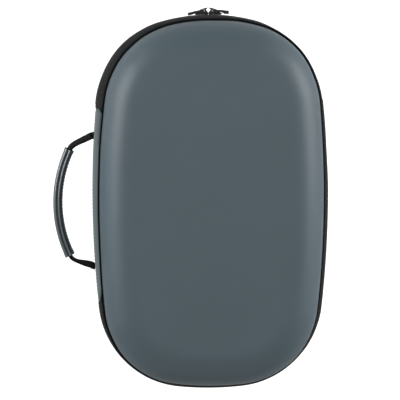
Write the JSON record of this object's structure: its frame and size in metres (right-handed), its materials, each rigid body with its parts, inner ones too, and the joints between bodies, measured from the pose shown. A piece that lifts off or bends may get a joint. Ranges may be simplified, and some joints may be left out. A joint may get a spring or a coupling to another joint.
{
  "type": "headphone carrying case",
  "caption": "Rounded oblong moulded clamshell case that opens like a book on a folding spine, with a two-way zip, a side carry handle, a fitted tray and a mesh pocket for headphones.",
  "frame": {"origin": "middle of the flat rear face, which the case lies on", "axes": "+Z out of the front face, +Y along the case's length towards the end where the zip sliders meet, -X towards the spine and its handle"},
  "size_m": [0.2358, 0.3276, 0.116],
  "materials": {
    "shell_leather": "smooth moulded synthetic leather over foam, satin",
    "spine_leather": "smooth synthetic leather, satin",
    "grip_leather": "smooth synthetic leather, satin",
    "lining_fabric": "brushed knit",
    "piping_cord": "covered cord, matt",
    "zip_tape": "fine woven tape, matt",
    "zip_coil": "nylon coil",
    "binding_fabric": "ribbed bias binding",
    "spine_board": "plain stiffener",
    "webbing": "flat woven webbing",
    "grip_foam": "soft foam strip",
    "tray_foam": "moulded foam faced with brushed knit",
    "pocket_mesh": "open knitted mesh",
    "pocket_elastic": "flat elastic",
    "slider_metal": "black lacquered die-cast, gloss",
    "pull_metal": "black lacquered, gloss"
  },
  "bodies": {
    "base": {"rear_shell": "shell_leather", "rear_lining": "lining_fabric", "rear_piping": "piping_cord", "rear_zip_tape": "zip_tape", "rear_zip_coil": "zip_coil", "rear_binding": "binding_fabric", "headphone_tray": "tray_foam"},
    "spine": {"spine_cover": "spine_leather", "spine_board": "spine_board", "spine_lining": "lining_fabric", "strap_anchors": "webbing"},
    "handle": {"handle_webbing": "webbing", "grip_padding": "grip_foam", "grip_cover": "grip_leather"},
    "lid": {"front_shell": "shell_leather", "front_lining": "lining_fabric", "front_piping": "piping_cord", "front_zip_tape": "zip_tape", "front_zip_coil": "zip_coil", "front_binding": "binding_fabric", "mesh_pocket": "pocket_mesh", "pocket_hem": "pocket_elastic"},
    "left_slider": {"slider_left": "slider_metal"},
    "left_pull": {"pull_left": "pull_metal"},
    "right_slider": {"slider_right": "slider_metal"},
    "right_pull": {"pull_right": "pull_metal"}
  },
  "joints": [
    {"name": "spine_fold", "type": "hinge", "parent": "base", "child": "spine", "pos_m": [-0.1017, 0, 0.046], "axis": [0, -1, 0], "range_deg": [0, 90]},
    {"name": "lid_fold", "type": "hinge", "parent": "spine", "child": "lid", "pos_m": [-0.1017, 0, 0.07], "axis": [0, -1, 0], "range_deg": [0, 90]},
    {"name": "handle_lean", "type": "hinge", "parent": "spine", "child": "handle", "pos_m": [-0.1059, 0, 0.058], "axis": [0, 1, 0], "range_deg": [-20, 20]},
    {"name": "left_slider_travel", "type": "hinge", "parent": "base", "child": "left_slider", "pos_m": [0, 0.0075, 0.058], "axis": [0, 0, 1], "range_deg": [0, 12]},
    {"name": "right_slider_travel", "type": "hinge", "parent": "base", "child": "right_slider", "pos_m": [0, 0.0075, 0.058], "axis": [0, 0, -1], "range_deg": [0, 12]},
    {"name": "left_pull_turn", "type": "hinge", "parent": "left_slider", "child": "left_pull", "pos_m": [-0.00575, 0.16415, 0.058], "axis": [0, 0, -1], "range_deg": [0, 110]},
    {"name": "right_pull_turn", "type": "hinge", "parent": "right_slider", "child": "right_pull", "pos_m": [0.00285, 0.16423, 0.058], "axis": [0, 0, 1], "range_deg": [0, 110]}
  ]
}
